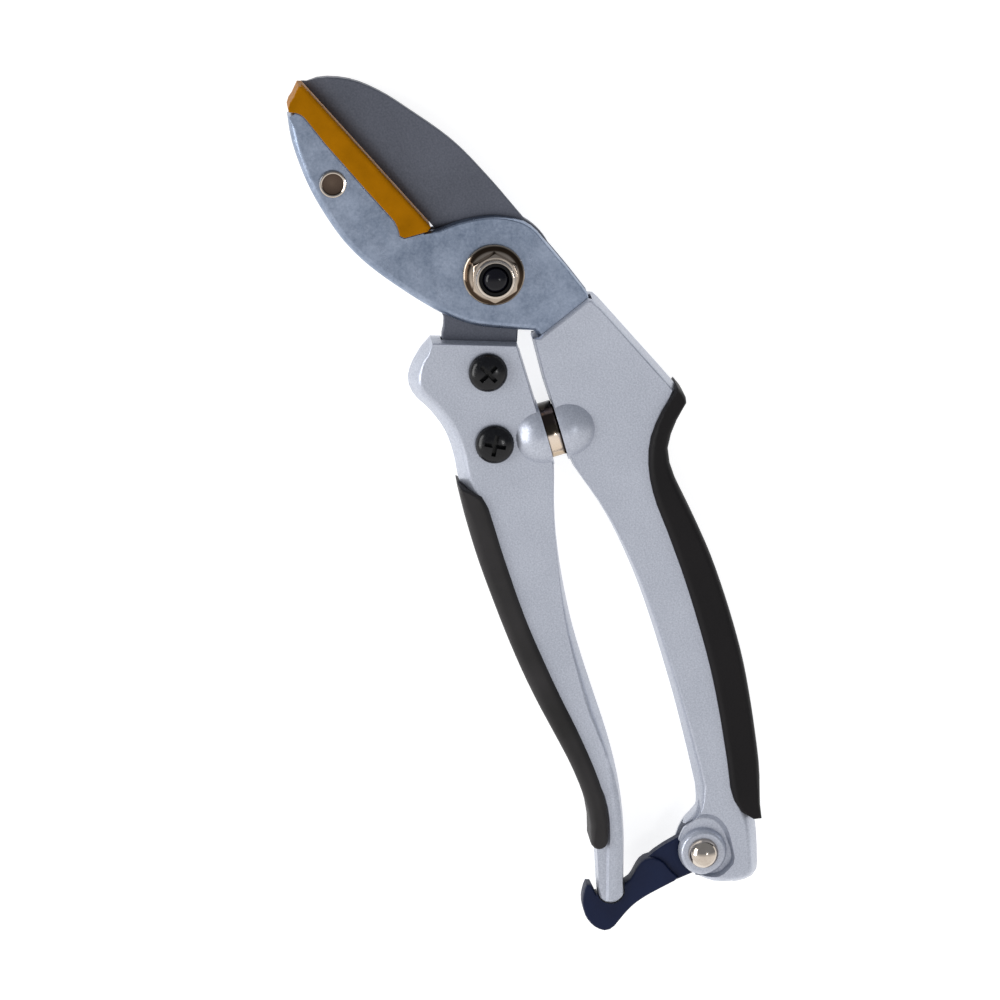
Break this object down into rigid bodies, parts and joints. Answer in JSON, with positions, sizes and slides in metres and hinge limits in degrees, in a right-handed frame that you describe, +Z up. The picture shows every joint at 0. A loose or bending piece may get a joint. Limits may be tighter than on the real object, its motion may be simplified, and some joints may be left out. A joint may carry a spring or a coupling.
{
  "type": "anvil pruning shears",
  "caption": "Hand shears whose straight blade closes on a folded steel anvil jaw, with cast handles, rubber grips, a volute spring and a swinging catch.",
  "frame": {"origin": "centre of the flat of the pivot bolt's head, on the pivot axis", "axes": "+X from the grips towards the jaws, +Y towards the handle that carries the blade, +Z up through the pivot nut"},
  "size_m": [0.2151, 0.0702, 0.0191],
  "materials": {
    "handle_metal": "fine silver paint on die-cast aluminium",
    "grip_rubber": "matte moulded soft rubber",
    "jaw_steel": "zinc-plated steel sheet, softly mottled",
    "insert_plastic": "moulded ochre plastic",
    "plated_steel": "warm nickel plate",
    "black_steel": "black oxide",
    "lock_nylon": "black nylon",
    "blade_steel": "dark non-stick coating on hardened steel",
    "catch_plastic": "moulded navy plastic"
  },
  "bodies": {
    "anvil_side": {"anvil_handle": "handle_metal", "anvil_handle_grip": "grip_rubber", "anvil_jaw": "jaw_steel", "anvil_insert": "insert_plastic", "anvil_rivet": "plated_steel", "pivot_bolt": "black_steel", "pivot_washer": "plated_steel", "pivot_bush": "plated_steel", "pivot_nut": "plated_steel", "nut_lock_ring": "lock_nylon", "volute_spring": "plated_steel", "catch_rivet": "plated_steel", "catch_washer": "plated_steel"},
    "blade_side": {"cutting_blade": "blade_steel", "blade_handle": "handle_metal", "blade_handle_grip": "grip_rubber", "blade_screw_upper": "black_steel", "blade_screw_lower": "black_steel"},
    "catch": {"catch_lever": "catch_plastic"}
  },
  "joints": [
    {"name": "handle_open", "type": "hinge", "parent": "anvil_side", "child": "blade_side", "pos_m": [0, 0, 0.0081], "axis": [0, 0, -1], "range_deg": [0, 30], "deforming": ["volute_spring"]},
    {"name": "catch_swing", "type": "hinge", "parent": "anvil_side", "child": "catch", "pos_m": [-0.1474, -0.0091, 0.0081], "axis": [0, 0, 1], "range_deg": [0, 50]}
  ]
}
